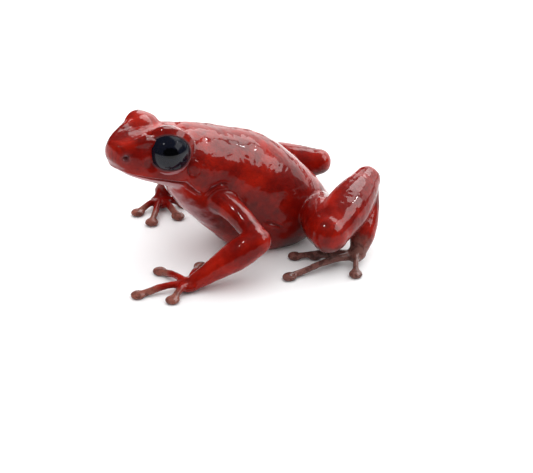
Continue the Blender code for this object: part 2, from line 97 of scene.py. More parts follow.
# Forward, widest half width, height of the widest line, top, chin.
HEAD_ROWS = [
    (3.98, 0.45, -0.45, -0.05, -0.90),
    (3.80, 0.95, -0.62, 0.26, -1.25),
    (3.30, 1.44, -0.92, 0.52, -1.82),
    (2.45, 1.94, -1.25, 0.80, -2.32),
    (1.35, 2.43, -1.55, 1.05, -2.70),
    (0.10, 2.80, -1.80, 1.22, -3.00),
    (-1.30, 3.00, -2.00, 1.30, -3.45),
    (-2.70, 3.00, -2.10, 1.24, -3.95),
    (-4.00, 2.80, -2.00, 1.05, -4.20),
    (-5.00, 2.30, -1.90, 0.65, -4.20),
]
CHIN_FRONT = (3.85, 0.0, -1.15)
CROWN_SQUARENESS = 0.66
CHIN_SQUARENESS = 0.80

# An eye's centre and the way it looks, as forward, left and up. The opening is counted in angles
# from that way: the half angle across, above and below.
EYE_RADIUS = 1.66
EYE_CENTRE = (-0.13, 2.0, -0.12)
EYE_AXIS_LEFT = (0.52, 0.82, 0.24)
EYE_AXIS_RIGHT = (0.12, -0.97, 0.10)
OPENING_ACROSS = math.radians(75.0)
OPENING_ABOVE = math.radians(51.0)
OPENING_BELOW = math.radians(56.0)
# The crest over an eye: how far out it runs (1 is the opening's rim), its reach from the eye's
# middle, the curve of its climb and the width of its fall.
CREST_RIM = 1.27
CREST_REACH = 2.05
CREST_CURVE = 1.15
CREST_FALL = 0.16
# The skin round an eye: its gap at the rim, how deep it turns in under the rim, how far out it
# hugs the eye below, and the reaches between which that effect ends.
LID_GAP = 0.07
LID_TUCK = 0.24
LID_EASE = 1.16
SOCKET_END = (2.15, 2.5)
SOCKET_RIM = 2.4
FAR_RIM = 9.0
EYE_ROUND = 3.2
EAR_OUT = 1.8
LID_RADII = (1.95, 1.94, 1.93)
LID_CENTRE = (-0.05, 1.86, -0.02)
CANTHUS_POINTS = [(3.25, 0.86, 0.12), (2.3, 1.28, 0.44), (1.1, 1.70, 0.92)]
CANTHUS_RADII = [0.34, 0.46, 0.62]
MOUTH_HEIGHT = -2.29
MOUTH_SLOPE = 0.12
MOUTH_CORNER = math.radians(118.0)
LIP_RADIUS = 0.20
LIP_RISE = 0.20
LIP_SINK = 0.18
SIDE_REACH = 6.0
NOSTRIL = (3.42, -0.60)
EAR_CENTRE = (-1.9, -1.18)
EAR_RADII = (0.46, 0.70)
# Depths and widths of the lines that are drawn into the skin.
MOUTH_DEPTH = 0.13
MOUTH_WIDTH = 0.075
NOSTRIL_DEPTH = 0.30
NOSTRIL_WIDTH = 0.16
NOSTRIL_RING = 0.30
NOSTRIL_RISE = 0.05
NOSTRIL_RISE_WIDTH = 0.10
EAR_DEPTH = 0.065
EAR_FRONT = 0.8
EAR_WIDTH = 0.17

# Folds of the trunk's skin, alike on both sides: behind the jaw, over the arm and on the flank.
FOLDS = [
    [(3.08, -8.34, 7.9), (2.91, -7.71, 7.39), (2.99, -7.2, 6.85), (3.04, -6.5, 6.3)],
    [(3.04, -6.5, 6.3), (3.13, -5.81, 6.85), (3.16, -5.06, 7.07), (3.21, -4.33, 6.78)],
    [(3.68, -1.83, 3.34), (3.77, -1.01, 3.05), (3.78, 0.02, 2.49)],
]
FOLD_DEPTH = 0.09
FOLD_WIDTH = 0.10
FOLD_WAVE = 0.10
FOLD_WAVE_SIZE = 0.8
FOLD_SWELL = 0.5
FOLD_ENDS = 0.3

# Limbs: joint centres, then the radius at each of the points between them.
UPPER_ARM_BOW = Vector((0.0, 0.28, 0.18))
UPPER_ARM_RADII = [1.18, 1.00, 0.92, 0.90, 0.95]
FOREARM_RADII = [1.05, 1.20, 1.12, 0.90, 0.72]
WRIST_RADII = [0.66, 0.62, 0.45]
PALM_RADII = (1.10, 0.92, 0.48)
FINGER_RADII = [0.36, 0.29, 0.27, 0.28, 0.29]
FINGER_ARCH = 0.34
PAD_RADII = (0.60, 0.56, 0.29)
PAD_HEIGHT = 0.20
PAD_RISE = 0.02
SCUTE_PLACE = (0.10, 0.17, 0.17)
SCUTE_RADII = (0.24, 0.16, 0.12)
THIGH_RADII = [1.15, 1.50, 1.75, 1.80, 1.56]
SHANK_RADII = [1.45, 1.72, 1.80, 1.55, 1.12]
TARSUS_RADII = [0.95, 0.98, 1.00, 0.92, 0.62]
SOLE_RADII = (0.85, 0.64, 0.40)
TOE_RADII = [0.38, 0.30, 0.26, 0.26, 0.28]
ARMS = [
    {"shoulder": (2.1, -5.35, 5.65), "elbow": (7.3, -3.6, 3.75), "wrist": (6.45, -8.1, 0.95),
     "palm": (6.2, -9.0, 0.50),
     "tips": [(3.3, -6.95), (2.9, -10.2), (5.83, -13.0), (7.55, -10.8)]},
    {"shoulder": (-2.1, -5.55, 5.65), "elbow": (-7.0, -3.2, 5.0), "wrist": (-9.0, -5.75, 0.95),
     "palm": (-8.05, -6.25, 0.52),
     "tips": [(-7.3, -4.5), (-5.5, -5.7), (-5.3, -8.05), (-7.4, -8.55)]},
]
LEGS = [
    {"hip": (1.0, 3.9, 2.8), "knee": (7.35, 2.4, 3.3), "heel": (3.35, 7.42, 5.24),
     "base": (7.1, 4.85, 0.70),
     "tips": [(5.75, 3.4), (5.15, 2.1), (4.56, 0.66), (7.55, -1.05), (9.1, 3.95)],
     "shank_bow": (0.03, 0.01, -0.03), "tarsus_bow": (0.26, 0.28, -0.22)},
    {"hip": (-1.0, 3.7, 2.8), "knee": (-7.6, 0.8, 3.1), "heel": (-3.97, 6.31, 3.75),
     "base": (-7.7, 2.9, 0.62),
     "tips": [(-6.5, 2.0), (-5.9, 0.7), (-5.4, -0.7), (-8.3, -2.4), (-9.7, 1.9)],
     "shank_bow": (-0.03, -0.05, -0.14), "tarsus_bow": (-0.26, 0.28, -0.22)},
]
FLESH_NODES = ["head", "torso"] + [
    part + "_" + side for side in ("left", "right")
    for part in ("upper_arm", "forearm", "hand", "thigh", "shank", "foot")]


# Shapes.


def head_matrix():
    """The head's frame: columns forward, left and up, turned by its yaw, pitch and roll."""
    yaw = Matrix.Rotation(HEAD_YAW, 3, "Z")
    pitch = Matrix.Rotation(HEAD_PITCH, 3, "X")
    roll = Matrix.Rotation(HEAD_ROLL, 3, "Y")
    turned = yaw @ pitch.inverted() @ roll
    forward = turned @ Vector((0.0, -1.0, 0.0))
    left = turned @ Vector((1.0, 0.0, 0.0))
    upward = turned @ Vector((0.0, 0.0, 1.0))
    return Matrix((forward, left, upward)).transposed()


HEAD_FRAME = head_matrix()


def on_head(forward, left, upward):
    """Turn a place in the head's frame into a place in the model."""
    return HEAD_CENTRE + HEAD_FRAME @ Vector((forward, left, upward))


def in_head(points):
    """Turn an array of places in the model into places in the head's frame."""
    return (points - np.array(HEAD_CENTRE)) @ np.array(HEAD_FRAME)


def eased_rows(rows, steps):
    """Run a smooth curve through the rows of a table, with the given steps in each span."""
    table = np.array(rows, dtype=float)
    table = np.vstack([2 * table[0] - table[1], table, 2 * table[-1] - table[-2]])
    eased = []
    for span in range(len(rows) - 1):
        a, b, c, d = table[span:span + 4]
        for step in range(steps):
            t = step / steps
            eased.append(0.5 * ((2 * b) + (c - a) * t + (2 * a - 5 * b + 4 * c - d) * t ** 2
                                + (3 * b - a - 3 * c + d) * t ** 3))
    eased.append(table[-2])
    return eased


def powered(value, power):
    """Raise a signed number to a power and keep its sign."""
    return math.copysign(abs(value) ** power, value)


class Clay:
    """Closed forms that overlap, kept as points and faces until they are fused."""

    def __init__(self):
        self.points = []
        self.faces = []

    def loft(self, rings):
        """Skin a row of rings that all have the same number of points, and close both ends."""
        first = len(self.points)
        sides = len(rings[0])
        for ring in rings:
            self.points.extend(tuple(point) for point in ring)
        for row in range(len(rings) - 1):
            here = first + row * sides
            for side in range(sides):
                after = (side + 1) % sides
                self.faces.append((here + side, here + after,
                                   here + sides + after, here + sides + side))
        last = first + (len(rings) - 1) * sides
        self.faces.append(tuple(reversed(range(first, first + sides))))
        self.faces.append(tuple(range(last, last + sides)))

    def tube(self, points, radii, sides=28, steps=6):
        """Add a round-ended limb along points, with a radius at each of them."""
        rows = eased_rows([(*point, radius) for point, radius in zip(points, radii)], steps)
        centres = [Vector(row[:3]) for row in rows]
        widths = [float(row[3]) for row in rows]
        stations = []
        for index, centre in enumerate(centres):
            ahead = centres[min(index + 1, len(centres) - 1)]
            behind = centres[max(index - 1, 0)]
            stations.append((centre, widths[index], (ahead - behind).normalized()))
        caps = [math.radians(lean) for lean in (82.0, 65.0, 48.0, 32.0, 16.0)]
        centre, width, way = stations[0]
        rings = [(centre - way * width * math.sin(turn), width * math.cos(turn), way)
                 for turn in caps]
        rings += stations
        centre, width, way = stations[-1]
        rings += [(centre + way * width * math.sin(turn), width * math.cos(turn), way)
                  for turn in reversed(caps)]
        across = rings[0][2].orthogonal().normalized()
        skin = []
        for centre, width, way in rings:
            across = (across - way * across.dot(way)).normalized()
            upward = across.cross(way)
            turns = [2.0 * math.pi * side / sides for side in range(sides)]
            skin.append([centre + (across * math.cos(turn) + upward * math.sin(turn)) * width
                         for turn in turns])
        self.loft(skin)

    def ball(self, centre, radii, axes=Matrix.Identity(3), sides=40, rows=20):
        """Add an ellipsoid with its axes turned by a matrix."""
        rings = []
        for row in range(rows + 1):
            lean = math.pi * (0.02 + 0.96 * row / rows) - math.pi / 2.0
            ring = []
            for side in range(sides):
                turn = 2.0 * math.pi * side / sides
                place = Vector((radii[0] * math.cos(turn) * math.cos(lean),
                                radii[1] * math.sin(turn) * math.cos(lean),
                                radii[2] * math.sin(lean)))
                ring.append(Vector(centre) + axes @ place)
            rings.append(ring)
        self.loft(rings)

    def tree(self):
        """A tree of the forms so far, for finding places on them."""
        return BVHTree.FromPolygons(self.points, self.faces)

    def mesh(self, name):
        """The forms as a mesh."""
        made = bpy.data.meshes.new(name)
        made.from_pydata(self.points, [], self.faces)
        return made


def add_trunk(clay, sides=112, steps=10):
    """The body from the nape to the vent."""
    rings = []
    for back_y, back_z, belly_y, belly_z, half_width in eased_rows(TRUNK_ROWS, steps):
        back = Vector((0.0, back_y, back_z))
        belly = Vector((0.0, belly_y, belly_z))
        centre = (back + belly) / 2.0
        upward = (back - belly) / 2.0
        ring = []
        for side in range(sides):
            turn = 2.0 * math.pi * side / sides
            power = BACK_SQUARENESS if math.sin(turn) > 0.0 else BELLY_SQUARENESS
            ring.append(centre + Vector((half_width * powered(math.cos(turn), power), 0.0, 0.0))
                        + upward * powered(math.sin(turn), power))
        rings.append(ring)
    clay.loft(rings)


def add_head(clay, sides=112, steps=10):
    """The skull and jaw from the snout to the nape."""
    rings = []
    for forward, half_width, mouth, top, chin in eased_rows(HEAD_ROWS, steps):
        ring = []
        for side in range(sides):
            turn = 2.0 * math.pi * side / sides
            power = CROWN_SQUARENESS if math.sin(turn) > 0.0 else CHIN_SQUARENESS
            height = (top - mouth) if math.sin(turn) > 0.0 else (mouth - chin)
            ring.append(on_head(forward, half_width * powered(math.cos(turn), power),
                                mouth + height * powered(math.sin(turn), power)))
        rings.append(ring)
    clay.loft(rings)


def mouth_line(tree, rise, count=60):
    """Points round the mouth on a surface, from the left corner to the right one."""
    inside = on_head(0.0, 0.0, MOUTH_HEIGHT + rise)
    points = []
    for step in range(count):
        turn = MOUTH_CORNER * (1.0 - 2.0 * step / (count - 1))
        way = Vector((math.cos(turn), math.sin(turn), MOUTH_SLOPE * math.cos(turn)))
        points.append(tree.ray_cast(inside, (HEAD_FRAME @ way).normalized())[0])
    return points


def add_face(clay, skull):
    """The lids, the brow ridges and the upper lip."""
    for side in SIDES:
        forward, left, upward = LID_CENTRE
        clay.ball(on_head(forward, side * left, upward), LID_RADII, HEAD_FRAME, 64, 32)
        clay.tube([on_head(f, side * l, u) for f, l, u in CANTHUS_POINTS], CANTHUS_RADII)
    middle = on_head(0.0, 0.0, MOUTH_HEIGHT + LIP_RISE)
    lip = [point + (middle - point).normalized() * LIP_SINK
           for point in mouth_line(skull, LIP_RISE, 25)]
    clay.tube(lip, [LIP_RADIUS] * len(lip), sides=16, steps=2)


def limb_line(start, end, count, bow=(0, 0, 0)):
    """Evenly spaced points from start to end, with the middle bowed."""
    line = []
    for step in range(count):
        t = step / (count - 1)
        line.append(Vector(start).lerp(Vector(end), t) + Vector(bow) * math.sin(math.pi * t))
    return line


def digit_line(root, tip_x, tip_y, count):
    """The middle line of a finger or toe, arched a little off the floor."""
    tip = Vector((tip_x, tip_y, PAD_HEIGHT))
    line = []
    for step in range(count):
        t = step / (count - 1)
        point = Vector(root).lerp(tip, t)
        point.z += FINGER_ARCH * math.sin(math.pi * min(1.0, t * 1.1)) * (1.0 - 0.3 * t)
        line.append(point)
    return line


def floor_frame(way):
    """Axes that lie along a heading on the floor, across it and up."""
    heading = Vector((way.x, way.y, 0.0)).normalized()
    across = heading.cross(Vector((0, 0, 1)))
    return Matrix((heading, across, Vector((0, 0, 1)))).transposed()


def add_digits(clay, root, tips, radii):
    """Fingers or toes with their pads, and the paired scutes on each pad."""
    for tip_x, tip_y in tips:
        line = digit_line(root, tip_x, tip_y, len(radii))
        clay.tube(line, radii, sides=20, steps=5)
        tip = Vector((tip_x, tip_y, PAD_HEIGHT + PAD_RISE))
        axes = floor_frame(tip - Vector(root))
        clay.ball(tip, PAD_RADII, axes, 32, 16)
        for side in SIDES:
            ahead, beside_middle, upward = SCUTE_PLACE
            scute = tip + axes @ Vector((ahead, side * beside_middle, upward))
            clay.ball(scute, SCUTE_RADII, axes, 16, 10)


def add_limbs(clay):
    """The arms, legs, hands and feet."""
    for arm in ARMS:
        clay.tube(limb_line(arm["shoulder"], arm["elbow"], 5, UPPER_ARM_BOW), UPPER_ARM_RADII)
        clay.tube(limb_line(arm["elbow"], arm["wrist"], 5), FOREARM_RADII)
        wrist = Vector(arm["wrist"])
        palm = Vector(arm["palm"])
        clay.tube([wrist, (wrist + palm) / 2.0, palm], WRIST_RADII)
        clay.ball(palm, PALM_RADII, floor_frame(palm - wrist))
        add_digits(clay, palm, arm["tips"], FINGER_RADII)
    for leg in LEGS:
        clay.tube(limb_line(leg["hip"], leg["knee"], 5), THIGH_RADII)
        clay.tube(limb_line(leg["knee"], leg["heel"], 5, leg["shank_bow"]), SHANK_RADII)
        clay.tube(limb_line(leg["heel"], leg["base"], 5, leg["tarsus_bow"]), TARSUS_RADII)
        base = Vector(leg["base"])
        middle = (Vector(leg["tips"][1]) + Vector(leg["tips"][3])) / 2.0
        clay.ball(base, SOLE_RADII, floor_frame(middle.to_3d() - base))
        add_digits(clay, base, leg["tips"], TOE_RADII)


# Skin.

SKIN_VOXEL = 0.10
SHAPE_ROUNDS = 7
JOINT_ROUNDS = 10
JOINT_REACH = 1.6
FACE_ROUNDS = 3
FACE_BACK = -4.0
CREST_ROUNDS = 8
CREST_MIDDLE = 1.75
CREST_SPREAD = 0.45
# The pull towards the neighbours, and the push back that holds the volume.
SMOOTH_PULL = 0.55
SMOOTH_PUSH = 0.57
SOFTEN_PULL = 0.5
# Low relief: height, size of a lump and seed.
LUMPS = [(0.034, 0.9, 1), (0.014, 0.35, 2)]
CALM_RIM = 1.05
FEWEST_FACES = 1000


def fused(mesh, voxel):
    """Fuse overlapping closed surfaces into one."""
    item = bpy.data.objects.new("clay", mesh)
    bpy.context.scene.collection.objects.link(item)
    remesh = item.modifiers.new("fuse", "REMESH")
    remesh.mode = "VOXEL"
    remesh.voxel_size = voxel
    graph = bpy.context.evaluated_depsgraph_get()
    made = bpy.data.meshes.new_from_object(item.evaluated_get(graph))
    bpy.data.objects.remove(item, do_unlink=True)
    bpy.data.meshes.remove(mesh)
    return made


def places(mesh):
    """The mesh's points as an array."""
    points = np.empty(len(mesh.vertices) * 3)
    mesh.vertices.foreach_get("co", points)
    return points.reshape(-1, 3)


def pairs(mesh):
    """The mesh's edges as an array of two columns."""
    edges = np.empty(len(mesh.edges) * 2, dtype=np.int64)
    mesh.edges.foreach_get("vertices", edges)
    return edges.reshape(-1, 2)


def averaged(values, edges):
    """Each point's value replaced by the mean of its neighbours' values."""
    total = np.zeros_like(values)
    count = np.bincount(edges.ravel(), minlength=len(values)).astype(float)
    for one, other in ((0, 1), (1, 0)):
        for axis in range(values.shape[1]):
            total[:, axis] += np.bincount(edges[:, one], weights=values[edges[:, other], axis],
                                          minlength=len(values))
    return total / np.maximum(count, 1.0)[:, None]


def eased(points, edges, rounds, weight=1.0):
    """Smooth points and hold their volume."""
    for _ in range(rounds):
        points = points + SMOOTH_PULL * weight * (averaged(points, edges) - points)
        points = points - SMOOTH_PUSH * weight * (averaged(points, edges) - points)
    return points


def softened(points, edges, rounds, weight):
    """Smooth points so that hollows fill, by a weight at each point."""
    for _ in range(rounds):
        points = points + SOFTEN_PULL * weight * (averaged(points, edges) - points)
    return points


def step_up(values, low, high):
    """0 below low, 1 above high and a smooth slope between them."""
    t = np.clip((values - low) / (high - low), 0.0, 1.0)
    return t * t * (3.0 - 2.0 * t)


def bell(values, width):
    """1 at 0, falling off to either side."""
    return np.exp(-(values / width) ** 2)


def beside(points, line):
    """Each point's distance from a line of points, and how far along the line it is nearest."""
    line = np.array([tuple(point) for point in line])
    best = np.full(len(points), 1e9)
    share = np.zeros(len(points))
    spans = len(line) - 1
    for span in range(spans):
        start = line[span]
        way = line[span + 1] - start
        t = np.clip(((points - start) @ way) / (way @ way), 0.0, 1.0)
        gap = np.linalg.norm(points - start - t[:, None] * way, axis=1)
        nearer = gap < best
        best[nearer] = gap[nearer]
        share[nearer] = (span + t[nearer]) / spans
    return best, share


def refined(mesh, wanted):
    """Split the faces round the wanted points into four."""
    shape = bmesh.new()
    shape.from_mesh(mesh)
    chosen = set()
    for face in shape.faces:
        if all(wanted[vert.index] for vert in face.verts):
            chosen.update(face.edges)
    bmesh.ops.subdivide_edges(shape, edges=list(chosen), cuts=1, use_grid_fill=True)
    shape.to_mesh(mesh)
    shape.free()


def eye_axes(side):
    """An eye's centre and its axes in the head's frame: the way it looks, level across it and up."""
    centre = np.array((EYE_CENTRE[0], side * EYE_CENTRE[1], EYE_CENTRE[2]))
    looks = Vector(EYE_AXIS_LEFT if side > 0.0 else EYE_AXIS_RIGHT).normalized()
    level = Vector((0.0, 0.0, 1.0)).cross(looks).normalized()
    return centre, np.array((looks, level, looks.cross(level)))


def round_eye(points, side):
    """Each point's reach from an eye, how far out it lies (1 at the opening's rim) and how high."""
    centre, axes = eye_axes(side)
    ahead, across, upward = ((in_head(points) - centre) @ axes.T).T
    reach = np.sqrt(ahead ** 2 + across ** 2 + upward ** 2)
    wide = np.maximum(np.sqrt(across ** 2 + upward ** 2), 1e-6)
    high = upward / wide
    edge = np.where(high > 0.0, OPENING_ABOVE, OPENING_BELOW)
    opening = 1.0 / np.sqrt((across / wide / OPENING_ACROSS) ** 2 + (high / edge) ** 2)
    rim = np.arctan2(wide, ahead) / opening
    rim[reach > EYE_ROUND] = FAR_RIM
    return reach, rim, high


def ear_rims(points):
    """For each ear: how far out a point lies from its middle, 1 at its ring, and the angle."""
    local = in_head(points)
    rims = []
    for side in SIDES:
        across = (local[:, 0] - EAR_CENTRE[0]) / EAR_RADII[0]
        upward = (local[:, 2] - EAR_CENTRE[1]) / EAR_RADII[1]
        rim = np.sqrt(across ** 2 + upward ** 2)
        rim[side * local[:, 1] < EAR_OUT] = FAR_RIM
        rims.append((rim, across))
    return rims


def set_sockets(points):
    """Draw the lids close round the eyes, raise a crest over them and sink the skin under them."""
    for side in SIDES:
        centre, axes = eye_axes(side)
        reach, rim, high = round_eye(points, side)
        hugged = EYE_RADIUS + LID_GAP
        below = reach + (1.0 - step_up(rim, 1.0, LID_EASE)) * (hugged - reach)
        climb = np.clip((rim - 1.0) / (CREST_RIM - 1.0), 0.0, 1.0) ** CREST_CURVE
        above = hugged + (CREST_REACH - hugged) * climb
        past = reach + (CREST_REACH - reach) * bell(np.maximum(rim - CREST_RIM, 0.0), CREST_FALL)
        above = np.where(rim < CREST_RIM, above, past)
        lid = below + (above - below) * step_up(high, -0.05, 0.5)
        lid = lid - (1.0 - step_up(rim, 0.95, 1.01)) * (lid - EYE_RADIUS + LID_TUCK)
        lid = lid + step_up(reach, *SOCKET_END) * (reach - lid)
        moved = np.where(rim < SOCKET_RIM, lid / np.maximum(reach, 1e-6), 1.0)
        local = centre + (in_head(points) - centre) * moved[:, None]
        points = np.array(HEAD_CENTRE) + local @ np.array(HEAD_FRAME).T
    return points


def normals_of(mesh, points):
    """Each point's outward direction."""
    mesh.vertices.foreach_set("co", points.ravel())
    mesh.update()
    normals = np.empty(len(points) * 3, dtype=np.float32)
    mesh.vertex_normals.foreach_get("vector", normals)
    return normals.reshape(-1, 3).astype(float)


def speckle(points, size, seed):
    """Smooth noise at each point, from -1 to 1, with lumps of about a size in millimetres."""
    offset = Vector((seed * 13.7, seed * 5.3, seed * 9.1))
    scale = 1.0 / size
    return np.array([noise.noise(Vector(point) * scale + offset) for point in points])


def folds(points):
    """For every fold on both sides: each point's distance from it, and a share that fades at
    its ends."""
    waves = [speckle(points, FOLD_WAVE_SIZE, seed) for seed in (5, 6, 7)]
    wavy = points + FOLD_WAVE * np.stack(waves, axis=1)
    found = []
    for fold in FOLDS:
        for side in SIDES:
            gap, along = beside(wavy, [(side * x, y, z) for x, y, z in fold])
            starts = step_up(along, 0.0, FOLD_ENDS)
            found.append((gap, starts * (1.0 - step_up(along, 1.0 - FOLD_ENDS, 1.0))))
    return found


def fold_depth(points, mouth, nostrils):
    """How far the skin is raised or sunk by the mouth, nostrils, ears and folds."""
    rise = np.zeros(len(points))
    gap, share = beside(points, mouth)
    end = step_up(share, 0.0, 0.04) * (1.0 - step_up(share, 0.96, 1.0))
    rise -= MOUTH_DEPTH * bell(gap, MOUTH_WIDTH) * end
    for gap, share in folds(points):
        swell = FOLD_SWELL * bell(gap - 2.2 * FOLD_WIDTH, FOLD_WIDTH)
        rise += FOLD_DEPTH * share * (swell - bell(gap, FOLD_WIDTH))
    for nostril in nostrils:
        gap = np.linalg.norm(points - np.array(nostril), axis=1)
        rise += NOSTRIL_RISE * bell(gap - NOSTRIL_RING, NOSTRIL_RISE_WIDTH)
        rise -= NOSTRIL_DEPTH * bell(gap, NOSTRIL_WIDTH)
    for rim, across in ear_rims(points):
        front = 1.0 + EAR_FRONT * np.clip(across, -1.0, 1.0)
        rise -= EAR_DEPTH * front * bell(rim - 1.0, EAR_WIDTH)
    return rise


def to_model(points):
    """Turn millimetres under the spine into the model's metres."""
    return (points + np.array(BOX_SHIFT)) * MILLIMETRE


def tint_shares(points, normals, mouth, nostrils):
    """The shares of brown fingertip, brown foot, dusky underside with painted shade, painted floor
    reflection on the chest, grey rim with a painted highlight at the eyes, and painted shade in the
    creases at each point."""
    ends = np.zeros(len(points))
    feet = np.zeros(len(points))
    for arm in ARMS:
        for tip_x, tip_y in arm["tips"]:
            gap, share = beside(points, digit_line(arm["palm"], tip_x, tip_y, 7))
            ends = np.maximum(ends, (1.0 - step_up(gap, 0.5, 0.9)) * step_up(share, 0.3, 0.95))
    for leg in LEGS:
        gap, share = beside(points, limb_line(leg["heel"], leg["base"], 7, leg["tarsus_bow"]))
        feet = np.maximum(feet, (1.0 - step_up(gap, 1.0, 1.4)) * step_up(share, 0.45, 1.1))
        for tip_x, tip_y in leg["tips"]:
            gap, share = beside(points, digit_line(leg["base"], tip_x, tip_y, 7))
            feet = np.maximum(feet, 1.0 - step_up(gap, 0.55, 0.9))
    # Painted shade: the low, down-facing rear body and groin turn dusky grey, partly their own dusky
    # colour.
    low = 1.0 - step_up(points[:, 2], 0.4, 2.6)
    down = step_up(-normals[:, 2], -0.15, 0.7)
    rear = step_up(points[:, 1], -2.0, 1.5)
    under = np.maximum(low * 0.5, down) * rear
    # Painted reflection of the pale floor: the chest turns paler pink where it faces down.
    chest = 1.0 - step_up(points[:, 1], -6.5, -3.0)
    pale = step_up(-normals[:, 2], 0.05, 0.75) * chest * step_up(points[:, 2], 1.6, 3.2)
    # Painted shade: the mouth line, the folds and the front of each ear's ring turn darker.
    crease_shading = np.maximum(bell(beside(points, mouth)[0], 0.10),
                         0.6 * np.max([share * bell(gap, 0.12) for gap, share in folds(points)],
                                      axis=0))
    for rim, across in ear_rims(points):
        crease_shading = np.maximum(crease_shading, 0.45 * step_up(across, -0.3, 0.8) * bell(rim - 1.0, 0.13))
    # Grey round the nostrils, and a painted highlight: a thin grey line along each eye's rim.
    rims = np.max([bell(np.linalg.norm(points - np.array(nostril), axis=1), 0.34)
                   for nostril in nostrils], axis=0)
    for side in SIDES:
        reach, rim, _ = round_eye(points, side)
        rims = np.maximum(rims, 0.8 * bell(rim - 1.0, 0.045) * (reach < EYE_RADIUS + 0.15))
    return {"ends": ends, "feet": feet, "under": under, "pale": pale, "rims": rims,
            "crease_shading": crease_shading}


def skin_mesh(voxel):
    """Model the whole skin as one closed surface, in the model's metres."""
    clay = Clay()
    add_head(clay)
    skull = clay.tree()
    add_face(clay, skull)
    add_trunk(clay)
    add_limbs(clay)
    mesh = fused(clay.mesh("clay"), voxel)
    edges = pairs(mesh)
    points = eased(places(mesh), edges, SHAPE_ROUNDS)
    joints = [arm[key] for arm in ARMS for key in ("shoulder", "elbow", "wrist")]
    joints += [leg[key] for leg in LEGS for key in ("hip", "knee", "heel", "base")]
    joints.append(on_head(*CHIN_FRONT))
    weight = np.zeros(len(points))
    for joint in joints:
        gap = np.linalg.norm(points - np.array(joint), axis=1)
        weight = np.maximum(weight, bell(gap, JOINT_REACH))
    points = softened(points, edges, JOINT_ROUNDS, weight[:, None])
    mesh.vertices.foreach_set("co", points.ravel())
    mesh.update()

    tree = BVHTree.FromPolygons([tuple(point) for point in points],
                                [tuple(face.vertices) for face in mesh.polygons])
    mouth = mouth_line(tree, 0.0)
    nostrils = [tree.ray_cast(on_head(NOSTRIL[0], side * SIDE_REACH, NOSTRIL[1]),
                              HEAD_FRAME @ Vector((0.0, -side, 0.0)))[0] for side in SIDES]
    for reach in (1.0, 0.6):
        points = places(mesh)
        wanted = beside(points, mouth)[0] < 0.5 * reach
        for nostril in nostrils:
            wanted |= np.linalg.norm(points - np.array(nostril), axis=1) < 0.7 * reach
        for side in SIDES:
            wanted |= np.abs(round_eye(points, side)[1] - 1.15) < 0.42 * reach
        for rim, across in ear_rims(points):
            wanted |= rim < 1.0 + 0.8 * reach
        for gap, _ in folds(points):
            wanted |= gap < 0.45 * reach
        refined(mesh, wanted)
    edges = pairs(mesh)
    points = places(mesh)
    local = in_head(points)
    points = eased(points, edges, FACE_ROUNDS, (local[:, 0:1] > FACE_BACK).astype(float))
    points = set_sockets(points)
    crest = np.max([bell(round_eye(points, side)[1] - CREST_MIDDLE, CREST_SPREAD)
                    for side in SIDES], axis=0)
    points = softened(points, edges, CREST_ROUNDS, crest[:, None])
    normals = normals_of(mesh, points)
    points = points + normals * fold_depth(points, mouth, nostrils)[:, None]
    lumps = sum(height * speckle(points, size, seed) for height, size, seed in LUMPS)
    calm = 1.0 - np.max([bell(round_eye(points, side)[1], CALM_RIM) for side in SIDES], axis=0)
    points = points + normals * (lumps * calm)[:, None]
    points[:, 2] = np.maximum(points[:, 2], 0.0)
    normals = normals_of(mesh, points)
    for name, share in tint_shares(points, normals, mouth, nostrils).items():
        layer = mesh.attributes.new(name, "FLOAT", "POINT")
        layer.data.foreach_set("value", share.astype(np.float32))
    low, high = (np.array(corner) for corner in CAD_BOX)
    points = np.clip(to_model(points), low, high)
    mesh.vertices.foreach_set("co", points.ravel())
    mesh.polygons.foreach_set("use_smooth", np.ones(len(mesh.polygons), dtype=bool))
    mesh.update()
    return mesh


# Materials.


class Socket:
    """A node's output that takes part in sums."""

    def __init__(self, shade, socket):
        self.shade = shade
        self.socket = socket

    def sum_with(self, operation, *terms):
        """Add a Math node with these terms."""
        inputs = dict(enumerate(terms))
        return self.shade.make("ShaderNodeMath", {"operation": operation}, inputs)

    def __add__(self, other):
        return self.sum_with("ADD", self, other)

    def __radd__(self, other):
        return self.sum_with("ADD", other, self)

    def __sub__(self, other):
        return self.sum_with("SUBTRACT", self, other)

    def __rsub__(self, other):
        return self.sum_with("SUBTRACT", other, self)

    def __mul__(self, other):
        return self.sum_with("MULTIPLY", self, other)

    def __rmul__(self, other):
        return self.sum_with("MULTIPLY", other, self)


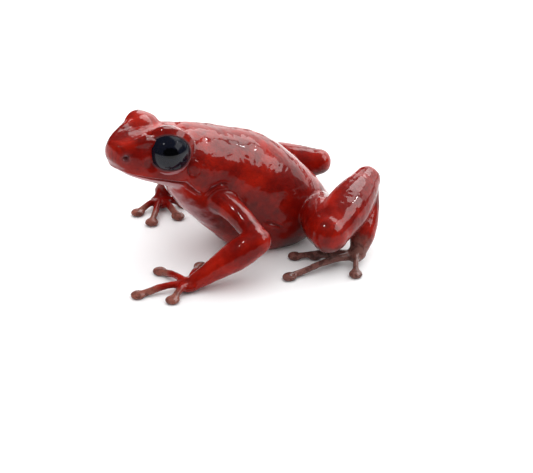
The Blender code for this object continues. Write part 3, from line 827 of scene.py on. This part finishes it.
class Shade:
    """Builds a material's nodes."""

    def __init__(self, name):
        self.material = bpy.data.materials.new(name)
        self.material.use_nodes = True
        self.tree = self.material.node_tree
        self.shader = self.tree.nodes["Principled BSDF"]

    def make(self, kind, settings, inputs, output=0):
        """Add a node, make its settings, then fill its sockets with values or links."""
        node = self.tree.nodes.new(kind)
        for name, value in settings.items():
            setattr(node, name, value)
        for key, value in inputs.items():
            self.fill(node.inputs[key], value)
        return Socket(self, node.outputs[output])

    def fill(self, socket, value):
        """Give a socket a value or a link."""
        if isinstance(value, Socket):
            self.tree.links.new(value.socket, socket)
        else:
            socket.default_value = value

    def finish(self, **inputs):
        """Fill the shader's own sockets, named with underscores for spaces."""
        for name, value in inputs.items():
            self.fill(self.shader.inputs[name.replace("_", " ")], value)
        return self.material

    def places(self):
        """Where the surface is, in millimetres."""
        found = self.make("ShaderNodeTexCoord", {}, {}, "Object")
        return self.make("ShaderNodeVectorMath", {"operation": "SCALE"},
                         {0: found, "Scale": 1.0 / MILLIMETRE})

    def noise(self, places, size, detail=3.0, roughness=0.5, distortion=0.0):
        """Noise with lumps of about a size in millimetres, from 0 to 1."""
        return self.make("ShaderNodeTexNoise", {"noise_dimensions": "3D"},
                         {"Vector": places, "Scale": 1.0 / size, "Detail": detail,
                          "Roughness": roughness, "Distortion": distortion}, "Fac")

    def cells(self, places, size):
        """The distance to the nearest of scattered points, which draws grains."""
        return self.make("ShaderNodeTexVoronoi", {"feature": "SMOOTH_F1"},
                         {"Vector": places, "Scale": 1.0 / size, "Smoothness": 0.5}, "Distance")

    def slope(self, value, low, high):
        """0 below low, 1 above high and a smooth slope between them."""
        return self.make("ShaderNodeMapRange", {"interpolation_type": "SMOOTHSTEP"},
                         {"Value": value, "From Min": low, "From Max": high})

    def share(self, name):
        """A share that the mesh keeps at each of its points."""
        return self.make("ShaderNodeAttribute", {"attribute_name": name}, {}, "Fac")

    def blend(self, share, one, other):
        """Mix two colours."""
        return self.make("ShaderNodeMix", {"data_type": "RGBA", "blend_type": "MIX"},
                         {0: share, 6: one, 7: other}, 2)


def skin_material(settings):
    """Wet red skin that turns brown on the fingers and feet, with painted shade in the creases and
    under the rear body, a painted floor reflection that makes the chest paler, and a painted highlight
    line at the eyes' rims.
    """
    shade = Shade("wet frog skin")
    places = shade.places()
    patches = shade.slope(shade.noise(places, 2.6, 4.0, 0.55), 0.35, 0.68)
    colour = shade.blend(patches, (*settings.deep_red, 1.0), (*settings.bright_red, 1.0))
    blotches = shade.slope(shade.noise(places, 1.7, 5.0, 0.62, 0.8), 0.50, 0.66)
    colour = shade.blend(blotches * 0.42, colour, (*settings.dusky_red, 1.0))
    mottle = shade.slope(shade.noise(places, 0.5, 3.0, 0.6, 0.4), 0.52, 0.70)
    colour = shade.blend(mottle * 0.24, colour, (*settings.dusky_red, 1.0))
    grain = shade.slope(shade.noise(places, 0.14, 2.0), 0.40, 0.75)
    colour = shade.blend(grain * 0.12, colour, (*settings.dusky_red, 1.0))
    # Painted shade in the mouth line, the folds and the ears' rings.
    colour = shade.blend(shade.share("crease_shading") * 0.85, colour, (*settings.crease_shade_red, 1.0))
    uneven = shade.noise(places, 0.5, 3.0)
    # Painted shade under the rear body and groin, mixed with their own dusky grey.
    under = shade.slope(shade.share("under") + (uneven - 0.5) * 0.5, 0.25, 0.95)
    colour = shade.blend(under * 0.8, colour, (*settings.underside_shade_grey, 1.0))
    # Painted reflection of the pale floor on the down-facing chest.
    pale = shade.slope(shade.share("pale") + (uneven - 0.5) * 0.6, 0.2, 1.0)
    colour = shade.blend(pale * 0.8, colour, (*settings.chest_floor_sheen, 1.0))
    feet = shade.slope(shade.share("feet") + (uneven - 0.5) * 0.5, 0.25, 0.85)
    colour = shade.blend(feet * 0.92, colour, (*settings.foot_brown, 1.0))
    ends = shade.slope(shade.share("ends") + (uneven - 0.5) * 0.4, 0.25, 0.85)
    colour = shade.blend(ends * 0.9, colour, (*settings.finger_brown, 1.0))
    spots = shade.slope(shade.noise(places, 0.45, 3.0, 0.6, 0.5), 0.46, 0.60)
    colour = shade.blend(spots * (feet + ends * 0.7) * 0.6, colour, (*settings.toe_dark, 1.0))
    # Grey nostrils, and a painted highlight line round the eyes.
    colour = shade.blend(shade.share("rims"), colour, (*settings.rim_grey, 1.0))
    roughness = 0.36 + 0.16 * shade.noise(places, 0.3, 2.0) + 0.06 * feet
    ripples = shade.noise(places, 0.42, 3.0, 0.55)
    grains = shade.cells(places, 0.13)
    height = ripples * 0.6 + grains * 0.35 + shade.noise(places, 0.07, 2.0) * 0.15
    bump = shade.make("ShaderNodeBump", {},
                      {"Strength": 1.0, "Distance": settings.grain_height, "Height": height})
    return shade.finish(Base_Color=colour, Roughness=roughness, Normal=bump,
                        Coat_Weight=1.0, Coat_Roughness=0.06, Coat_IOR=1.25,
                        Specular_IOR_Level=0.04, Subsurface_Weight=0.12,
                        Subsurface_Radius=(1.0, 0.25, 0.2), Subsurface_Scale=0.0004)


def eye_material(settings):
    """A dark wet eye: a wide flat pupil in a blue-black iris, duller above where the lid shades it."""
    shade = Shade("wet dark eye")
    places = shade.places()
    iris = shade.share("iris")
    pupil = shade.share("pupil")
    streak = shade.noise(places, 0.16, 3.0, 0.6)
    flecks = shade.slope(streak, 0.50, 0.78)
    colour = shade.blend(flecks * iris * 0.35, (*settings.eye_black, 1.0),
                         (*settings.iris_brown, 1.0))
    colour = shade.blend(pupil, colour, (*settings.pupil_black, 1.0))
    ripple = shade.make("ShaderNodeBump", {}, {"Strength": 0.3, "Distance": 0.000004,
                                               "Height": shade.noise(places, 0.5, 2.0)})
    return shade.finish(Base_Color=colour, Roughness=0.12 + 0.10 * streak, Normal=ripple,
                        Coat_Weight=1.0 - 0.93 * shade.share("shaded"), Coat_Roughness=0.02,
                        Coat_IOR=1.34, Specular_IOR_Level=0.03)


def floor_material(settings):
    """A plain pale floor with a faint grain."""
    shade = Shade("pale floor")
    places = shade.places()
    grain = shade.noise(places, 9.0, 4.0)
    tone = shade.blend(grain, (*settings.floor_tone, 1.0),
                       tuple(value * 0.985 for value in settings.floor_tone) + (1.0,))
    return shade.finish(Base_Color=tone, Roughness=0.55 + 0.1 * grain, Specular_IOR_Level=0.3,
                        Emission_Color=tone, Emission_Strength=settings.floor_glow)


# Eyes.

EYE_SIDES = 72
EYE_RINGS = 48
CORNEA_REACH = math.radians(48.0)
CORNEA_RISE = 0.035
PUPIL_RADII = (0.62, 0.44)
IRIS_RADIUS = 1.22
IRIS_EDGE = 0.1
# The heights between which the lid's shade sets in.
SHADED = (-0.1, 0.5)


def eye_mesh(side):
    """An eyeball with a raised cornea, turned out to one side of the head."""
    clay = Clay()
    centre, axes = eye_axes(side)
    rings = []
    for ring in range(EYE_RINGS + 1):
        lean = math.pi * (0.006 + 0.988 * ring / EYE_RINGS)
        rise = 1.0 + CORNEA_RISE * (0.5 + 0.5 * math.cos(math.pi * min(1.0, lean / CORNEA_REACH)))
        out = EYE_RADIUS * rise * math.cos(lean)
        wide = EYE_RADIUS * rise * math.sin(lean)
        row = []
        for step in range(EYE_SIDES):
            turn = 2.0 * math.pi * step / EYE_SIDES
            place = np.array((out, wide * math.cos(turn), wide * math.sin(turn)))
            row.append(on_head(*(centre + place @ axes)))
        rings.append(row)
    clay.loft(rings)
    mesh = clay.mesh("eye")
    shape = bmesh.new()
    shape.from_mesh(mesh)
    bmesh.ops.recalc_face_normals(shape, faces=shape.faces)
    shape.to_mesh(mesh)
    shape.free()
    points = places(mesh)
    ahead, across, upward = ((in_head(points) - centre) @ axes.T).T
    wide = np.sqrt(across ** 2 + upward ** 2)
    flat = np.sqrt((across / PUPIL_RADII[0]) ** 2 + (upward / PUPIL_RADII[1]) ** 2)
    shares = {"iris": (1.0 - step_up(wide, IRIS_RADIUS - IRIS_EDGE, IRIS_RADIUS)) * (ahead > 0),
              "pupil": (1.0 - step_up(flat, 0.92, 1.0)) * (ahead > 0),
              "shaded": step_up(upward, *SHADED)}
    for name, share in shares.items():
        layer = mesh.attributes.new(name, "FLOAT", "POINT")
        layer.data.foreach_set("value", share.astype(np.float32))
    mesh.vertices.foreach_set("co", to_model(points).ravel())
    mesh.polygons.foreach_set("use_smooth", np.ones(len(mesh.polygons), dtype=bool))
    mesh.update()
    return mesh


# Stage.

CAMERA_PLACE = (0.131355, -0.05038, 0.07501)
CAMERA_RIGHT = (0.374607, 0.927184, 0.0)
CAMERA_UP = (-0.435286, 0.175867, 0.882948)
CAMERA_BACK = (0.818655, -0.330758, 0.469472)
SENSOR_WIDTH = 36.0
NEAREST = 0.01
FARTHEST = 20.0
FLOOR_HALF = 3.0
# Lights: name, place, size, power in watts, and whether it shows in the gloss, in the soft
# light or in both. Each looks at the frog.
LIGHTS = [
    ("softbox_right", (0.252, 0.473, 0.450), (0.50, 0.36), 5.2, "gloss"),
    ("softbox_back", (-0.247, 0.353, 0.570), (0.50, 0.40), 5.6, "gloss"),
    ("softbox_far", (-0.425, 0.608, 0.300), (1.20, 0.50), 4.6, "both"),
    ("fill_above", (-0.06, 0.02, 0.50), (1.40, 1.40), 12.0, "soft"),
    ("lamp_left", (0.045, 0.31, 0.39), (0.02, 0.02), 0.26, "gloss"),
    ("lamp_front", (0.012, -0.245, 0.435), (0.02, 0.02), 0.34, "gloss"),
]


def lay_floor(settings):
    """Lay a pale floor under the frog."""
    mesh = bpy.data.meshes.new("floor")
    corners = [(x * FLOOR_HALF, y * FLOOR_HALF, 0) for x, y in ((-1, -1), (1, -1), (1, 1), (-1, 1))]
    mesh.from_pydata(corners, [], [(0, 1, 2, 3)])
    floor = bpy.data.objects.new("floor", mesh)
    mesh.materials.append(floor_material(settings))
    bpy.context.scene.collection.objects.link(floor)


def hang_lights(settings):
    """Hang soft lights that look at the frog, and set a dim pale surround."""
    for name, place, size, power, shows in LIGHTS:
        light = bpy.data.lights.new(name, "AREA")
        light.shape = "RECTANGLE"
        light.size, light.size_y = size
        light.energy = power * settings.light_power
        lamp = bpy.data.objects.new(name, light)
        lamp.location = place
        lamp.rotation_euler = (-Vector(place)).to_track_quat("-Z", "Y").to_euler()
        lamp.visible_camera = False
        lamp.visible_glossy = shows != "soft"
        lamp.visible_diffuse = shows != "gloss"
        bpy.context.scene.collection.objects.link(lamp)
    world = bpy.data.worlds.new("surround")
    world.use_nodes = True
    surround = world.node_tree.nodes["Background"]
    surround.inputs["Color"].default_value = (*settings.surround_tone, 1.0)
    surround.inputs["Strength"].default_value = settings.surround_strength
    bpy.context.scene.world = world


def stand_camera(settings):
    """Stand the camera where the photograph was taken from."""
    lens = bpy.data.cameras.new("camera")
    lens.lens = settings.lens
    lens.sensor_width = SENSOR_WIDTH
    lens.sensor_fit = "HORIZONTAL"
    lens.clip_start = NEAREST
    lens.clip_end = FARTHEST
    camera = bpy.data.objects.new("camera", lens)
    turn = Matrix((CAMERA_RIGHT, CAMERA_UP, CAMERA_BACK)).transposed().to_4x4()
    camera.matrix_world = Matrix.Translation(CAMERA_PLACE) @ turn
    bpy.context.scene.collection.objects.link(camera)
    bpy.context.scene.camera = camera


# Add-on.


def tone(name, description, default):
    """A colour that a user may change."""
    return bpy.props.FloatVectorProperty(name=name, description=description, default=default,
                                         subtype="COLOR", size=3, min=0.0, max=1.0)


class FROG_PG_skin(bpy.types.PropertyGroup):
    """Sizes and colours of the skin."""

    voxel: bpy.props.FloatProperty(name="Fineness", default=SKIN_VOXEL, min=0.06, max=0.3,
                                   description="Size of the skin's faces in millimetres")
    grain_height: bpy.props.FloatProperty(name="Grain height", default=0.00003, unit="LENGTH",
                                          description="Height of the fine grain", precision=6)
    deep_red: tone("Deep red", "Colour of the darker patches", (0.165, 0.0027, 0.0010))
    bright_red: tone("Bright red", "Colour of the brighter patches", (0.37, 0.0105, 0.003))
    dusky_red: tone("Dusky red", "Colour of the mottling", (0.055, 0.003, 0.0025))
    # Painted reflection of the pale floor on the chest.
    chest_floor_sheen: tone("Chest", "Colour of the paler chest", (0.42, 0.20, 0.215))
    # Painted shade under the rear body, mixed with its own dusky grey.
    underside_shade_grey: tone("Underside", "Colour of the groin and underside", (0.09, 0.02, 0.018))
    foot_brown: tone("Feet", "Colour of the hind feet", (0.19, 0.085, 0.070))
    toe_dark: tone("Toe spots", "Colour of the dark spots on fingers and toes", (0.035, 0.012, 0.011))
    finger_brown: tone("Fingers", "Colour of the finger ends", (0.26, 0.095, 0.070))
    # Painted shade in the mouth line, folds and ears' rings.
    crease_shade_red: tone("Creases", "Colour of the mouth and the folds", (0.035, 0.003, 0.003))
    # Grey of the nostrils, and a painted highlight line at the eyes' rims.
    rim_grey: tone("Rims", "Colour of the rims of the eyes and nostrils", (0.075, 0.040, 0.045))


class FROG_PG_eyes(bpy.types.PropertyGroup):
    """Colours of the eyes."""

    eye_black: tone("Eye", "Colour of the eye", (0.005, 0.006, 0.012))
    pupil_black: tone("Pupil", "Colour of the pupil", (0.001, 0.001, 0.0015))
    iris_brown: tone("Iris flecks", "Colour of the flecks in the iris", (0.030, 0.018, 0.012))


class FROG_PG_stage(bpy.types.PropertyGroup):
    """Camera, lights and floor."""

    lens: bpy.props.FloatProperty(name="Lens", default=131.84, unit="CAMERA",
                                  description="Focal length of the camera")
    light_power: bpy.props.FloatProperty(name="Light", default=1.0, min=0.0,
                                         description="Brightness of all the soft lights")
    surround_strength: bpy.props.FloatProperty(name="Surround", default=0.03, min=0.0,
                                               description="Brightness of the surround")
    surround_tone: tone("Surround tone", "Colour of the surround", (0.95, 0.97, 1.0))
    floor_tone: tone("Floor", "Colour of the floor", (0.88, 0.88, 0.885))
    floor_glow: bpy.props.FloatProperty(name="Floor glow", default=0.04, min=0.0,
                                        description="Light that comes up through the floor")


def shown(name, mesh, nodes):
    """Link a piece that rides on the body and stands for its nodes."""
    piece = bpy.data.objects.new(name, mesh)
    bpy.context.scene.collection.objects.link(piece)
    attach(piece, "root")
    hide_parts(*nodes)


class FROG_OT_skin(bpy.types.Operator):
    """Model the skin over the whole body"""

    bl_idname = "frog.skin"
    bl_label = "Skin"

    def execute(self, context):
        settings = context.scene.frog_skin
        mesh = skin_mesh(settings.voxel)
        if len(mesh.polygons) < FEWEST_FACES:
            raise RuntimeError("the skin came out empty")
        mesh.materials.append(skin_material(settings))
        shown("skin", mesh, FLESH_NODES)
        return {"FINISHED"}


class FROG_OT_eyes(bpy.types.Operator):
    """Model both eyes"""

    bl_idname = "frog.eyes"
    bl_label = "Eyes"

    def execute(self, context):
        material = eye_material(context.scene.frog_eyes)
        for side, name in ((1.0, "left"), (-1.0, "right")):
            mesh = eye_mesh(side)
            mesh.materials.append(material)
            shown("eyeball_" + name, mesh, ["eye_" + name])
        return {"FINISHED"}


class FROG_OT_stage(bpy.types.Operator):
    """Lay the floor, hang the lights and stand the camera"""

    bl_idname = "frog.stage"
    bl_label = "Stage"

    def execute(self, context):
        settings = context.scene.frog_stage
        lay_floor(settings)
        hang_lights(settings)
        stand_camera(settings)
        context.scene.view_settings.view_transform = "Standard"
        return {"FINISHED"}


class FROG_PT_panel(bpy.types.Panel):
    """Lists the frog's pieces"""

    bl_label = "Dart frog"
    bl_space_type = "VIEW_3D"
    bl_region_type = "UI"
    bl_category = "Frog"

    def draw(self, context):
        scene = context.scene
        for group, operator in ((scene.frog_skin, "frog.skin"), (scene.frog_eyes, "frog.eyes"),
                                (scene.frog_stage, "frog.stage")):
            box = self.layout.box()
            for name in group.__annotations__:
                box.prop(group, name)
            box.operator(operator)


GROUPS = {"frog_skin": FROG_PG_skin, "frog_eyes": FROG_PG_eyes, "frog_stage": FROG_PG_stage}
CLASSES = [*GROUPS.values(), FROG_OT_skin, FROG_OT_eyes, FROG_OT_stage, FROG_PT_panel]


def register():
    """Add the classes and settings to Blender."""
    for item in CLASSES:
        bpy.utils.register_class(item)
    for name, group in GROUPS.items():
        setattr(bpy.types.Scene, name, bpy.props.PointerProperty(type=group))


def unregister():
    """Take the classes and settings out of Blender."""
    for name in GROUPS:
        delattr(bpy.types.Scene, name)
    for item in reversed(CLASSES):
        bpy.utils.unregister_class(item)


def main():
    """Build every piece."""
    register()
    bpy.ops.frog.skin()
    bpy.ops.frog.eyes()
    bpy.ops.frog.stage()


if __name__ == "__main__":
    main()
